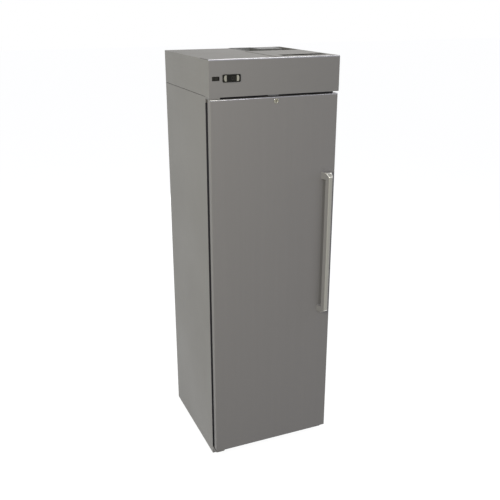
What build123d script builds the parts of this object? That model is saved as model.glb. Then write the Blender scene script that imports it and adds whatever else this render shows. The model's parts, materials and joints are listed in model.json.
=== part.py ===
from build123d import *
import math
import os

os.makedirs("parts", exist_ok=True)

# An upright refrigerated cabinet with one solid door and the cooling unit on top.
# X runs to the right seen from the front, the door faces -Y, and Z is up.
# The origin is on the floor, in the middle of the footprint with the handle.
# Sizes are in millimetres.

# Body
cabinet_width = 600.0
cabinet_depth = 613.5
cabinet_height = 1894.0
housing_height = 151.0
sheet = 1.0
side_wall = 46.0
back_wall = 48.0
floor_depth = 80.0
ceiling_depth = 53.0
front_flange = 35.0
base_upstand = 70.0
top_downstand = 43.0
breaker_depth = 12.0
seat_gap = 0.3
rest_gap = 0.1
running_gap = 0.05

# Glides under the base
glide_height = 12.0
glide_diameter = 44.0
glide_neck_diameter = 26.0
glide_pad_height = 5.0
glide_inset = 48.0

# Door
door_setback = 0.8
door_side_gap = 2.7
door_bottom = 39.2
door_top_gap = 11.4
door_pan_depth = 28.4
door_edge_radius = 2.0
door_frame_depth = 8.0
door_frame_inset = 3.3
door_frame_width = 32.0
plateau_inset = 22.0
plateau_rise = 7.6
gasket_inset = 14.3
gasket_width = 14.0
gasket_depth = 11.65
gasket_gap = 0.3
gasket_lip = 2.0
gasket_foot_depth = 5.0

# Hinges on the left
hinge_inset = 14.3
hinge_back = 12.0
hinge_pin_diameter = 10.0
hinge_pin_reach = 20.0
hinge_bush_diameter = 14.0
hinge_bush_length = 22.0
hinge_collar_diameter = 20.0
hinge_collar_gap = 0.2
hinge_front_gap = 2.0
top_hinge_width = 47.0
top_hinge_thickness = 8.0
top_hinge_leaf = 16.0
bottom_hinge_width = 50.0
bottom_hinge_thickness = 7.2
bottom_hinge_gap = 1.0
bottom_hinge_leaf = 25.0
bottom_hinge_chamfer = 8.0
bottom_hinge_radius = 10.0
hinge_leaf_thickness = 5.0
hinge_screw_inset = 9.0
hinge_screw_spread = 19.0
hinge_screw_drop = 8.0
hinge_screw_diameter = 6.0
hinge_screw_head_diameter = 10.5
hinge_screw_head = 3.0
hinge_screw_length = 18.0
screw_socket_share = 0.8

# Bar handle
handle_length = 688.0
handle_centre = 1045.0
handle_edge_inset = 45.3
handle_reach = 49.0
grip_gap = 27.0
handle_root_width = 46.0
handle_nose_width = 17.4
handle_nose_radius = 4.5
handle_wall = 2.2
bracket_height = 32.0
bracket_slope_drop = 16.5
bracket_edge_radius = 2.5
spigot_length = 16.0
handle_screw_spread = 24.0
handle_screw_diameter = 5.0
handle_screw_reach = 14.0
handle_screw_head_diameter = 9.0
handle_screw_head = 3.0

# Lock
lock_below_top = 15.2
lock_face_diameter = 22.0
lock_face_rise = 2.5
lock_tube_diameter = 19.0
lock_nut_diameter = 26.0
lock_nut_thickness = 4.0
barrel_diameter = 15.9
barrel_recess = 0.6
key_slot_width = 2.2
key_slot_height = 9.0
key_slot_depth = 8.0
cam_length = 24.0
cam_width = 12.0
cam_thickness = 2.5
cam_setback = 4.0
cam_gap = 0.5
strike_width = 50.0
strike_thickness = 2.0
strike_clearance = 0.7
strike_drop = 10.0

# Shelves
shelf_count = 4
shelf_steps = 6
first_shelf_step = 5
slot_pitch = 55.0
upright_width = 20.0
upright_depth = 8.0
upright_end_gap = 40.0
upright_front_inset = 95.0
upright_back_inset = 65.0
slot_width = 11.0
slot_height = 5.0
slot_depth = 6.0
clip_width = 10.0
clip_thickness = 3.0
clip_reach = 12.0
clip_lip = 6.0
shelf_side_gap = 2.0
shelf_front_gap = 45.0
shelf_back_gap = 20.0
shelf_rim_diameter = 6.0
shelf_corner_radius = 14.0
shelf_bar_diameter = 5.0
shelf_bar_inset = 110.0
shelf_wire_diameter = 3.5
shelf_wire_count = 17
shelf_weld = 0.3

# Fascia and shell of the housing
fascia_return = 105.0
fascia_bend_radius = 5.0
fascia_lip = 12.0
fascia_lap = 10.0
shell_lip = 14.0
cover_thickness = 1.5
cover_lap = 8.0
cover_width = 283.0
cover_depth = 368.0
slot_front = 58.0
slot_run = 50.0
slot_length = 214.0
slot_side = 22.0
plate_tuck = 6.0
louvre_count = 9
louvre_pitch = 11.0
louvre_height = 4.0
louvre_length = 88.0
louvre_side = 202.0
louvre_rise = 30.0

# Switch
controls_rise = 75.2
switch_side = 29.0
switch_width = 30.8
switch_height = 17.0
switch_rise = 2.0
switch_body_depth = 22.0
switch_side_wall = 0.6
switch_cheek = 1.2
rocker_half_width = 11.3
rocker_half_height = 5.0
rocker_gap = 0.4
rocker_pivot_back = 5.0
rocker_front = 8.5
rocker_dip = 6.5
rocker_back = 4.0
rocker_waist = 5.0
rocker_tilt = 8.0
rocker_pin_diameter = 3.0
rocker_pin_reach = 1.0

# Controller
controller_side = 98.0
controller_width = 79.0
controller_height = 31.8
controller_radius = 5.0
controller_rise = 3.0
controller_body_width = 71.0
controller_body_height = 29.0
controller_body_depth = 60.0
window_width = 37.0
window_height = 24.0
window_depth = 1.0
pad_inset = 6.2
pad_width = 11.0
pad_height = 24.0
pad_bulge = 4.5
pad_rise = 0.7
pad_depth = 3.2
pad_travel = 0.8
pad_gap = 0.3

# Evaporator side, under the left plate
box_side_gap = 16.0
machine_width = 242.0
box_setback = 90.0
box_back_gap = 12.5
box_wall = 25.0
box_floor = 17.0
box_lid = 20.0
box_top_gap = 3.0
duct_width = 170.0
fan_setback = 215.0
fan_hole_diameter = 156.0
orifice_margin = 9.0
orifice_thickness = 2.0
fan_tip_gap = 4.0
fan_hub_diameter = 52.0
fan_depth = 22.0
fan_lift = 7.0
fan_blades = 5
blade_thickness = 2.0
evaporator_blade_chord = 43.0
blade_pitch = 22.0
motor_diameter = 62.0
motor_length = 40.0
motor_gap = 3.0
shaft_diameter = 6.0
shaft_length = 14.0
motor_arm_width = 16.0
motor_arm_thickness = 3.0
outlet_depth = 90.0
outlet_back_gap = 23.0
coil_setback = 302.0
coil_depth = 100.0
coil_end_gap = 22.0
coil_lift = 5.0
coil_top_gap = 8.0
fin_pitch = 9.0
fin_thickness = 1.2
fin_rise = 7.0
coil_end_plate = 1.5
bend_diameter = 9.5
bend_pitch = 22.0
guard_rim = 10.0
guard_thickness = 4.0
guard_ring_width = 2.0
guard_ring_pitch = 15.0
guard_spokes = 4
louvre_rim = 12.0
louvre_frame_height = 12.0
slat_count = 6
slat_thickness = 2.0
slat_angle = 35.0
drain_diameter = 12.0
drain_inside_diameter = 9.0
drain_bend = 13.0
drain_setback = 312.0
drain_rise = 25.0
drain_reach = 24.0
drain_drop = 14.0

# Condensing side, under the right cover
bay_margin = 18.0
pipe_lane = 16.0
lane_gap = 1.0
condenser_setback = 130.0
condenser_depth = 45.0
condenser_top_gap = 15.0
condenser_floor_gap = 6.0
shroud_gap = 20.0
shroud_thickness = 1.5
condenser_fan_diameter = 126.0
condenser_blade_chord = 37.0
shroud_hole_diameter = 132.0
condenser_fan_back = 4.0
compressor_side = 125.0
compressor_setback = 417.0
compressor_length = 165.0
compressor_width = 125.0
compressor_height = 116.0
compressor_corner = 55.0
compressor_top_radius = 34.0
compressor_base_radius = 20.0
compressor_plate_length = 196.0
compressor_plate_width = 112.0
compressor_plate = 3.0
mount_spread_x = 170.0
mount_spread_y = 88.0
mount_diameter = 22.0
mount_neck_diameter = 13.0
mount_height = 12.0
mount_collar_diameter = 19.0
mount_collar = 3.0
terminal_width = 22.0
terminal_length = 46.0
terminal_height = 52.0
tray_setback = 275.0
tray_depth = 66.0
tray_height = 18.0
tray_wall = 1.5
tray_side_gap = 8.0
electrical_side = 101.0
electrical_width = 122.0
electrical_setback = 495.0
electrical_wall = 2.0
inlet_side = 100.0
inlet_rise = 45.0
inlet_width = 28.0
inlet_height = 20.0
inlet_body_depth = 21.0
inlet_flange_width = 44.0
inlet_flange_height = 26.0
inlet_flange = 3.0
plug_width = 24.0
plug_height = 16.0
plug_depth = 15.0
pin_width = 4.0
pin_height = 2.0
pin_length = 10.0
pin_spread = 7.0
pin_offset = 2.0
pipe_diameter = 6.0
suction_diameter = 9.5
capillary_diameter = 3.0
pipe_bend = 9.0
capillary_bend = 8.0
drier_diameter = 18.0
drier_length = 90.0
drier_neck = 10.0
drier_setback = 230.0
liquid_rise = 46.0
discharge_rise = 86.0
suction_rise = 62.0
suction_offset = 42.0
suction_stub_diameter = 11.5
discharge_inset = 27.5
stub_length = 20.0
stub_diameter = 9.0
condenser_turn = 20.0

# Planes that the pieces share
half_width = cabinet_width / 2
inner_face = half_width - sheet
front_y = handle_reach - (cabinet_depth + handle_reach) / 2
back_y = front_y + cabinet_depth
back_face = back_y - sheet
base_z = glide_height
top_z = base_z + cabinet_height
housing_z = top_z - housing_height
deck_z = housing_z - sheet
door_y = front_y + door_setback
frame_y = door_y + door_pan_depth
gasket_y = frame_y + door_frame_depth
carcass_y = gasket_y + gasket_depth + gasket_gap
inside_x = half_width - side_wall
inside_back = back_y - back_wall
floor_z = base_z + floor_depth
ceiling_z = housing_z - ceiling_depth
seal_x = half_width - front_flange
seal_low = base_z + base_upstand
seal_high = housing_z - top_downstand
breaker_back = carcass_y + breaker_depth
door_x = half_width - door_side_gap
door_low = base_z + door_bottom
door_high = housing_z - door_top_gap
hinge_x = hinge_inset - door_x
hinge_y = door_y + hinge_back
lock_z = door_high - lock_below_top
cam_y = frame_y + cam_setback
controls_z = housing_z + controls_rise
pivot_y = front_y + rocker_pivot_back
switch_x = switch_side - half_width
switch_cavity_width = 2 * (
    rocker_half_width + rocker_front * math.sin(math.radians(rocker_tilt)) + rocker_gap
)
switch_cavity_height = 2 * (rocker_half_height + seat_gap)
switch_body_width = switch_cavity_width + 2 * switch_side_wall
switch_body_height = switch_cavity_height + 2 * switch_cheek
controller_x = controller_side - half_width
bezel_y = front_y - controller_rise
pad_y = (bezel_y - pad_rise, bezel_y - pad_rise + pad_depth)
cover_edge_x = half_width - cover_width
slot_right = half_width - slot_side
slot_left = slot_right - slot_length
louvre_x = half_width - louvre_side
plate_z = top_z - cover_thickness
plate_right = cover_edge_x + cover_lap
cover_back = front_y + fascia_lip + cover_depth
box_x = (box_side_gap - half_width, half_width - machine_width)
box_y = (front_y + box_setback, back_face - box_back_gap)
box_top = top_z - box_top_gap
lid_z = box_top - box_lid
tub_z = housing_z + box_floor
fan_x = sum(box_x) / 2
fan_y = front_y + fan_setback
duct_x = (fan_x - duct_width / 2, fan_x + duct_width / 2)
fan_duct_y = (fan_y - duct_width / 2, fan_y + duct_width / 2)
outlet_y = (inside_back - outlet_back_gap - outlet_depth, inside_back - outlet_back_gap)
lane_x = box_x[1] + drier_diameter / 2 + lane_gap
bay_x = (box_x[1] + pipe_lane, inner_face - bay_margin)
condenser_y = (front_y + condenser_setback, front_y + condenser_setback + condenser_depth)
condenser_z = (housing_z + condenser_floor_gap, top_z - condenser_top_gap)
condenser_fan_x = (bay_x[0] + bay_x[1]) / 2
condenser_fan_z = (condenser_z[0] + condenser_z[1]) / 2
shroud_y = condenser_y[1] + shroud_gap
shroud_back = shroud_y + shroud_thickness
drain_y = front_y + drain_setback
drain_z = housing_z + drain_rise
plate_low = housing_z + mount_height
can_z = plate_low + compressor_plate
compressor_x = half_width - compressor_side
compressor_y = front_y + compressor_setback
compressor_left = compressor_x - compressor_length / 2
compressor_front = compressor_y - compressor_width / 2
discharge_x = compressor_left + discharge_inset
discharge_z = housing_z + discharge_rise
suction_z = housing_z + suction_rise
liquid_z = housing_z + liquid_rise
drier_y = (front_y + drier_setback, front_y + drier_setback + drier_length)
electrical_x = half_width - electrical_side
inlet_x = half_width - inlet_side
inlet_z = housing_z + inlet_rise
electrical_y = (front_y + electrical_setback, back_face - inlet_flange)
upright_face = inside_x - upright_depth
upright_y = (carcass_y + upright_front_inset, inside_back - upright_back_inset)
upright_z = (floor_z + upright_end_gap, ceiling_z - upright_end_gap)
tongue_y = (cam_y - strike_clearance - strike_thickness, cam_y - strike_clearance)
frame_outer_x = door_x - door_frame_inset
frame_inner_x = frame_outer_x - door_frame_width
frame_z = (door_low + door_frame_inset, door_high - door_frame_inset)
panel_z = (frame_z[0] + door_frame_width, frame_z[1] - door_frame_width)
handle_x = door_x - handle_edge_inset
handle_z = (
    base_z + handle_centre - handle_length / 2,
    base_z + handle_centre + handle_length / 2,
)
bar_z = (handle_z[0] + bracket_height, handle_z[1] - bracket_height)
nose_y = front_y - handle_reach
grip_y = front_y - grip_gap


def block(x, y, z):
    """A box between two corners, given as its span on each axis."""
    spans = (x, y, z)
    size = [abs(high - low) for low, high in spans]
    middle = [(high + low) / 2 for low, high in spans]
    return Pos(*middle) * Box(*size)


def rod_x(x, y, z, diameter):
    return Pos(sum(x) / 2, y, z) * Rot(0, 90, 0) * Cylinder(diameter / 2, abs(x[1] - x[0]))


def rod_y(x, y, z, diameter):
    return Pos(x, sum(y) / 2, z) * Rot(90, 0, 0) * Cylinder(diameter / 2, abs(y[1] - y[0]))


def rod_z(x, y, z, diameter):
    return Pos(x, y, sum(z) / 2) * Cylinder(diameter / 2, abs(z[1] - z[0]))


def prism_x(face, x):
    """Extrude a face drawn as (Y, Z) between two X."""
    return extrude(Plane.YZ.offset(min(x)) * face, max(x) - min(x))


def prism_y(face, y):
    """Extrude a face drawn as (X, Z) between two Y."""
    return extrude(Plane.XZ.offset(-max(y)) * face, max(y) - min(y))


def prism_z(face, z):
    """Extrude a face drawn as (X, Y) between two Z."""
    return extrude(Plane.XY.offset(min(z)) * face, max(z) - min(z))


def outline(*points):
    return make_face(Polyline(*points, close=True))


def mid_span(middle, width):
    return (middle - width / 2, middle + width / 2)


def grown(span, by):
    return (span[0] - by, span[1] + by)


def across(width):
    """The span of a piece centred on the cabinet's middle."""
    return mid_span(0.0, width)


def pipe(points, diameter, bend):
    """A tube through corner points, with one bend radius."""
    path = FilletPolyline(*points, radius=bend)
    ring = Plane(origin=path @ 0, z_dir=path % 0) * Circle(diameter / 2)
    return sweep(ring, path=path)


def screw(length, diameter, head_diameter, head):
    """A socket screw standing on Z, with the underside of its head at the origin."""
    socket = diameter * screw_socket_share
    body = rod_z(0, 0, (-length, 0), diameter) + rod_z(0, 0, (0, head), head_diameter)
    return body - prism_z(RegularPolygon(socket / 2, 6), (head / 2, head))


def save(name, *shapes):
    solids = [solid for shape in shapes for solid in shape.solids()]
    whole = solids[0] if len(solids) == 1 else Compound(children=solids)
    export_step(whole, f"parts/{name}.step")


# Cabinet

def ducts(z):
    """The fan duct and the outlet duct, through whatever lies in the span."""
    return block(duct_x, fan_duct_y, z) + block(duct_x, outlet_y, z)


def boards_round_ducts(x, y, z):
    """A slab of insulation, cut into plain boards that leave the two ducts open."""
    return [
        block(x, (y[0], fan_duct_y[0]), z),
        block((x[0], duct_x[0]), (fan_duct_y[0], outlet_y[1]), z),
        block((duct_x[1], x[1]), (fan_duct_y[0], outlet_y[1]), z),
        block(duct_x, (fan_duct_y[1], outlet_y[0]), z),
        block(x, (outlet_y[1], y[1]), z),
    ]


def hinge_screw_places():
    top = housing_z - top_hinge_thickness - hinge_screw_drop
    bottom = door_low - bottom_hinge_gap - bottom_hinge_thickness - hinge_screw_drop
    left = hinge_screw_inset - half_width
    return [(x, z) for z in (top, bottom) for x in (left, left + hinge_screw_spread)]


def hinge_screw_bores():
    front = carcass_y - hinge_leaf_thickness
    reach = (front, front + hinge_screw_length + seat_gap)
    bore = hinge_screw_diameter + 2 * seat_gap
    return [rod_y(x, reach, z, bore) for x, z in hinge_screw_places()]


def hinge_screws():
    body = screw(
        hinge_screw_length, hinge_screw_diameter, hinge_screw_head_diameter, hinge_screw_head
    )
    front = carcass_y - hinge_leaf_thickness
    return [Pos(x, front, z) * Rot(90, 0, 0) * body for x, z in hinge_screw_places()]


def side_panel(side):
    skin_x = (side * inner_face, side * half_width)
    flange_x = (side * seal_x, side * half_width)
    height = (base_z, housing_z)
    panel = block(skin_x, (carcass_y, back_face), height)
    panel += block(flange_x, (carcass_y, carcass_y + sheet), height)
    for bore in hinge_screw_bores():
        panel -= bore
    return panel


def base_pan():
    floor = block(across(2 * inner_face), (carcass_y + sheet, back_face), (base_z, base_z + sheet))
    upstand = block(across(2 * seal_x), (carcass_y, carcass_y + sheet), (base_z, seal_low))
    return floor + upstand


def top_deck():
    deck = block(across(2 * inner_face), (carcass_y + sheet, back_face), (deck_z, housing_z))
    deck -= ducts((deck_z, housing_z))
    downstand = block(across(2 * seal_x), (carcass_y, carcass_y + sheet), (seal_high, housing_z))
    return deck + downstand


def back_panel():
    return block(across(cabinet_width), (back_face, back_y), (base_z, housing_z))


def breaker_ring():
    return block(across(2 * seal_x), (carcass_y, breaker_back), (seal_low, seal_high))


def interior(grow):
    """The interior of the cabinet, grown on all sides but the front."""
    width = across(2 * (inside_x + grow))
    return block(width, (carcass_y, inside_back + grow), (floor_z - grow, ceiling_z + grow))


def cabinet_foam():
    """The insulation, as boards: two sides, a back, a floor, and the ceiling round the ducts."""
    height = (base_z + sheet, deck_z)
    liner_x = across(2 * (inside_x + sheet))
    liner_back = inside_back + sheet
    depth = (carcass_y + sheet, liner_back)
    boards = [block(liner_x, (liner_back, back_face), height)]
    boards.append(block(liner_x, depth, (height[0], floor_z - sheet)))
    boards += boards_round_ducts(liner_x, depth, (ceiling_z + sheet, deck_z))
    for side in (-1, 1):
        x = (side * (inside_x + sheet), side * inner_face)
        boards.append(block(x, (depth[0], back_face), height))
    foam = []
    for board in boards:
        board -= breaker_ring()
        for bore in hinge_screw_bores():
            board -= bore
        foam.append(board)
    return foam


def breaker_frame():
    return breaker_ring() - interior(0.0)


def inner_liner():
    front = block(across(cabinet_width), (carcass_y, breaker_back), (base_z, housing_z))
    liner = interior(sheet) - interior(0.0) - front
    return liner - ducts((ceiling_z, ceiling_z + sheet))


def glide_feet():
    feet = []
    for side in (-1, 1):
        x = side * (half_width - glide_inset)
        for y in (carcass_y + glide_inset, back_y - glide_inset):
            pad = rod_z(x, y, (0, glide_pad_height), glide_diameter)
            neck = rod_z(x, y, (glide_pad_height, glide_height), glide_neck_diameter)
            feet.append(pad + neck)
    return feet


# Shelves

def slot_z(step):
    """The lower edge of a slot, counted from the bottom of the uprights."""
    return upright_z[0] + step * slot_pitch


def shelf_uprights():
    uprights = []
    steps = int((upright_z[1] - upright_z[0]) / slot_pitch)
    for side in (-1, 1):
        for y in upright_y:
            bar_x = (side * upright_face, side * inside_x)
            bar = block(bar_x, mid_span(y, upright_width), upright_z)
            slot_x = (side * upright_face, side * (upright_face + slot_depth))
            for step in range(1, steps + 1):
                z = slot_z(step)
                bar -= block(slot_x, mid_span(y, slot_width), (z, z + slot_height))
            uprights.append(bar)
    return uprights


def shelf_steps_used():
    return [first_shelf_step + index * shelf_steps for index in range(shelf_count)]


def shelf_clips():
    clips = []
    for step in shelf_steps_used():
        z = slot_z(step)
        for side in (-1, 1):
            for y in upright_y:
                clip_y = mid_span(y, clip_width)
                ledge_x = (side * (upright_face - clip_reach), side * (upright_face + slot_depth))
                lip_x = (side * upright_face, side * (upright_face - clip_thickness / 2))
                ledge = block(ledge_x, clip_y, (z, z + clip_thickness))
                lip = block(lip_x, clip_y, (z - clip_lip, z))
                clips.append(ledge + lip)
    return clips


def wire_shelf(step):
    rim_radius = shelf_rim_diameter / 2
    z = slot_z(step) + clip_thickness + rest_gap + rim_radius
    half = upright_face - shelf_side_gap - rim_radius
    y = (carcass_y + shelf_front_gap + rim_radius, inside_back - shelf_back_gap - rim_radius)
    loop = Pos(0, sum(y) / 2, z) * RectangleRounded(2 * half, y[1] - y[0], shelf_corner_radius)
    path = loop.face().outer_wire()
    ring = Plane(origin=path @ 0, z_dir=path % 0) * Circle(rim_radius)
    shelf = sweep(ring, path=path)
    for bar_y in (y[0] + shelf_bar_inset, y[1] - shelf_bar_inset):
        shelf += rod_x((-half, half), bar_y, z, shelf_bar_diameter)
    wire_z = z + (shelf_bar_diameter + shelf_wire_diameter) / 2 - shelf_weld
    pitch = 2 * half / (shelf_wire_count + 1)
    for index in range(1, shelf_wire_count + 1):
        shelf += rod_y(index * pitch - half, y, wire_z, shelf_wire_diameter)
    return shelf


def fan_guard():
    z = (ceiling_z - guard_thickness, ceiling_z)
    rim = block(grown(duct_x, guard_rim), grown(fan_duct_y, guard_rim), z)
    rim -= rod_z(fan_x, fan_y, z, fan_hole_diameter)
    hub = rod_z(fan_x, fan_y, z, guard_ring_pitch)
    guard = rim + hub
    rings = int(fan_hole_diameter / 2 / guard_ring_pitch)
    for index in range(1, rings):
        radius = (index + 0.5) * guard_ring_pitch
        ring = rod_z(fan_x, fan_y, z, 2 * radius)
        guard += ring - rod_z(fan_x, fan_y, z, 2 * (radius - guard_ring_width))
    spoke_reach = fan_hole_diameter / 2 + guard_rim / 2
    for index in range(guard_spokes):
        spoke = block((0, spoke_reach), across(guard_ring_width), (0, guard_thickness))
        guard += Pos(fan_x, fan_y, z[0]) * Rot(0, 0, (index + 0.5) * 360 / guard_spokes) * spoke
    return guard


def outlet_louvre():
    z = (ceiling_z - louvre_frame_height, ceiling_z)
    louvre = block(grown(duct_x, louvre_rim), grown(outlet_y, louvre_rim), z)
    louvre -= block(duct_x, outlet_y, z)
    pitch = outlet_depth / (slat_count + 1)
    for index in range(1, slat_count + 1):
        slat = Box(duct_width, louvre_frame_height, slat_thickness)
        y = outlet_y[0] + index * pitch
        louvre += Pos(fan_x, y, sum(z) / 2) * Rot(slat_angle, 0, 0) * slat
    return louvre


# Hinges and strike

def hinge_bracket_top():
    low = housing_z - top_hinge_thickness
    x = (-half_width, top_hinge_width - half_width)
    plate = block(x, (front_y + hinge_front_gap, carcass_y), (low, housing_z))
    leaf_y = (carcass_y - hinge_leaf_thickness, carcass_y)
    leaf = block(x, leaf_y, (low - top_hinge_leaf, low))
    pin = rod_z(hinge_x, hinge_y, (door_high - hinge_pin_reach, low), hinge_pin_diameter)
    bracket = plate + leaf + pin
    for bore in hinge_screw_bores():
        bracket -= bore
    return bracket


def hinge_bracket_bottom():
    high = door_low - bottom_hinge_gap
    low = high - bottom_hinge_thickness
    x = (-half_width, bottom_hinge_width - half_width)
    y = (front_y + hinge_front_gap, carcass_y)
    plan = outline(
        (x[0], y[1]),
        (x[0], y[0]),
        (x[1] - bottom_hinge_chamfer, y[0]),
        (x[1], y[0] + bottom_hinge_chamfer),
        (x[1], y[1]),
    )
    corner = plan.vertices().sort_by_distance((x[0], y[0], 0))[0]
    plate = prism_z(fillet(corner, bottom_hinge_radius), (low, high))
    leaf_y = (carcass_y - hinge_leaf_thickness, carcass_y)
    leaf = block(x, leaf_y, (low - bottom_hinge_leaf, low))
    pin = rod_z(hinge_x, hinge_y, (high, door_low + hinge_pin_reach), hinge_pin_diameter)
    bracket = plate + leaf + pin
    for bore in hinge_screw_bores():
        bracket -= bore
    return bracket


def strike_plate():
    x = across(strike_width)
    leaf = block(x, (tongue_y[0], carcass_y), (housing_z - strike_thickness, housing_z))
    tongue = block(x, tongue_y, (housing_z - strike_drop, housing_z))
    return leaf + tongue


# Shell of the housing

def fascia():
    high = top_z
    bend = fascia_bend_radius
    inner = bend - sheet
    y = front_y
    centre = (y + bend, high - bend)
    profile = make_face(
        [
            Line((y, housing_z), (y, high - bend)),
            RadiusArc((y, high - bend), (y + bend, high), bend),
            Line((y + bend, high), (y + fascia_lip, high)),
            Line((y + fascia_lip, high), (y + fascia_lip, high - sheet)),
            Line((y + fascia_lip, high - sheet), (centre[0], high - sheet)),
            RadiusArc((centre[0], high - sheet), (y + sheet, centre[1]), -inner),
            Line((y + sheet, centre[1]), (y + sheet, housing_z + sheet)),
            Line((y + sheet, housing_z + sheet), (carcass_y + fascia_lap, housing_z + sheet)),
            Line((carcass_y + fascia_lap, housing_z + sheet), (carcass_y + fascia_lap, housing_z)),
            Line((carcass_y + fascia_lap, housing_z), (y, housing_z)),
        ]
    )
    cheek = make_face(
        [
            Line((y, housing_z), (y, high - bend)),
            RadiusArc((y, high - bend), (y + bend, high), bend),
            Line((y + bend, high), (y + fascia_return, high)),
            Line((y + fascia_return, high), (y + fascia_return, housing_z)),
            Line((y + fascia_return, housing_z), (y, housing_z)),
        ]
    )
    shell = prism_x(profile, across(2 * inner_face))
    for side in (-1, 1):
        shell += prism_x(cheek, (side * inner_face, side * half_width))
    shell -= control_body(switch_x, switch_body_width, switch_body_height, seat_gap)
    shell -= control_body(controller_x, controller_body_width, controller_body_height, seat_gap)
    return shell


def control_body(x, width, height, gap):
    """The cut-out that a control's body passes through."""
    return block(
        mid_span(x, width + 2 * gap),
        (front_y, front_y + sheet),
        mid_span(controls_z, height + 2 * gap),
    )


def housing_side(side, high):
    """A side sheet, whose lip under the top stops where the cover does on the right."""
    y = (front_y + fascia_return, back_face)
    skin = block((side * inner_face, side * half_width), y, (housing_z, high))
    lip_back = back_face if side < 0 else cover_back
    lip_high = high - sheet if side < 0 else high - cover_thickness
    lip_x = (side * (inner_face - shell_lip), side * inner_face)
    lip = block(lip_x, (y[0], lip_back), (lip_high - sheet, lip_high))
    return skin + lip


def housing_back():
    y = (back_face, back_y)
    panel = block((-half_width, plate_right), y, (housing_z, plate_z - sheet))
    panel += block((plate_right, half_width), y, (housing_z, top_z))
    low = housing_z + louvre_rise
    for index in range(louvre_count):
        z = low + index * louvre_pitch
        panel -= block(mid_span(louvre_x, louvre_length), y, (z, z + louvre_height))
    opening_x = mid_span(inlet_x, inlet_width + 2 * seat_gap)
    opening_z = mid_span(inlet_z, inlet_height + 2 * seat_gap)
    return panel - block(opening_x, y, opening_z)


def top_plate_left():
    y = (front_y + fascia_lip - plate_tuck, back_y)
    return block((-inner_face, plate_right), y, (plate_z - sheet, plate_z))


def top_cover_right():
    z = (plate_z, top_z)
    cover = block((cover_edge_x, inner_face), (front_y + fascia_lip, cover_back), z)
    slot_y = (front_y + fascia_lip + slot_front, front_y + fascia_lip + slot_front + slot_run)
    return cover - block((slot_left, slot_right), slot_y, z)


# Switch and controller

def switch_housing():
    x = mid_span(switch_x, switch_width)
    bezel = block(x, (front_y - switch_rise, front_y), mid_span(controls_z, switch_height))
    body_y = (front_y, front_y + switch_body_depth)
    body = block(
        mid_span(switch_x, switch_body_width), body_y, mid_span(controls_z, switch_body_height)
    )
    cavity = block(
        mid_span(switch_x, switch_cavity_width),
        (front_y - switch_rise, pivot_y + rocker_back + rocker_waist),
        mid_span(controls_z, switch_cavity_height),
    )
    bore = rod_z(
        switch_x,
        pivot_y,
        mid_span(controls_z, switch_body_height),
        rocker_pin_diameter + 2 * running_gap,
    )
    return bezel + body - cavity - bore


def switch_rocker():
    half = rocker_half_width
    face = outline(
        (-half, -rocker_front),
        (0, -rocker_dip),
        (half, -rocker_front),
        (half, -rocker_back),
        (rocker_waist, rocker_back),
        (-rocker_waist, rocker_back),
        (-half, -rocker_back),
    )
    height = across(2 * rocker_half_height)
    pin = rod_z(0, 0, grown(height, rocker_pin_reach), rocker_pin_diameter)
    rocker = prism_z(face, height) + pin
    return Pos(switch_x, pivot_y, controls_z) * Rot(0, 0, -rocker_tilt) * rocker


def pad_face(side, grow):
    """A D-shaped pad beside the window, straight towards the window and bulging outwards."""
    inner = controller_x + side * (controller_width / 2 - pad_inset - pad_width - grow)
    shoulder = controller_x + side * (controller_width / 2 - pad_inset - pad_bulge + grow)
    outer = controller_x + side * (controller_width / 2 - pad_inset + grow)
    high = controls_z + pad_height / 2 + grow
    low = controls_z - pad_height / 2 - grow
    return make_face(
        [
            Line((inner, low), (inner, high)),
            Line((inner, high), (shoulder, high)),
            ThreePointArc((shoulder, high), (outer, controls_z), (shoulder, low)),
            Line((shoulder, low), (inner, low)),
        ]
    )


def button(side):
    return prism_y(pad_face(side, 0.0), pad_y)


def controller_case():
    plate = RectangleRounded(controller_width, controller_height, controller_radius)
    bezel = prism_y(Pos(controller_x, controls_z) * plate, (bezel_y, front_y))
    body = block(
        mid_span(controller_x, controller_body_width),
        (front_y, front_y + controller_body_depth),
        mid_span(controls_z, controller_body_height),
    )
    case = bezel + body - window_block()
    for side in (-1, 1):
        case -= prism_y(pad_face(side, pad_gap), (bezel_y, pad_y[1] + pad_travel + pad_gap))
    return case


def window_block():
    return block(
        mid_span(controller_x, window_width),
        (bezel_y, bezel_y + window_depth),
        mid_span(controls_z, window_height),
    )


# Fans

def fan_rotor(radius, chord, lift):
    """A rotor on Z, with its mounting plane at the origin and its shaft upwards."""
    z = (lift, lift + fan_depth)
    hub = rod_z(0, 0, z, fan_hub_diameter)
    span = radius - fan_hub_diameter / 2 + blade_thickness
    middle = radius - span / 2 + blade_thickness / 2
    blades = None
    for index in range(fan_blades):
        blade = Rot(blade_pitch, 0, 0) * Box(span, chord, blade_thickness)
        blade = Rot(0, 0, index * 360 / fan_blades) * Pos(middle, 0, sum(z) / 2) * blade
        blades = blade if blades is None else blades + blade
    blades = blades & rod_z(0, 0, z, 2 * radius)
    shaft = rod_z(0, 0, (z[1], z[1] + shaft_length), shaft_diameter)
    return hub + blades + shaft


def fan_motor(hole_diameter, lift):
    """A motor on two legs beside the fan hole, on Z, with its mounting plane at the origin."""
    low = lift + fan_depth + motor_gap
    high = low + motor_length
    can = rod_z(0, 0, (low, high), motor_diameter)
    leg = hole_diameter / 2 + motor_arm_width / 2
    arm_y = across(motor_arm_width)
    motor = can + block((-leg, leg), arm_y, (high - motor_arm_thickness, high))
    for side in (-1, 1):
        leg_x = (side * (leg - motor_arm_thickness), side * leg)
        motor += block(leg_x, arm_y, (0, high))
    bore_z = (low, lift + fan_depth + shaft_length + motor_gap)
    return motor - rod_z(0, 0, bore_z, shaft_diameter + 2 * running_gap)


# Cooling unit

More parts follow.
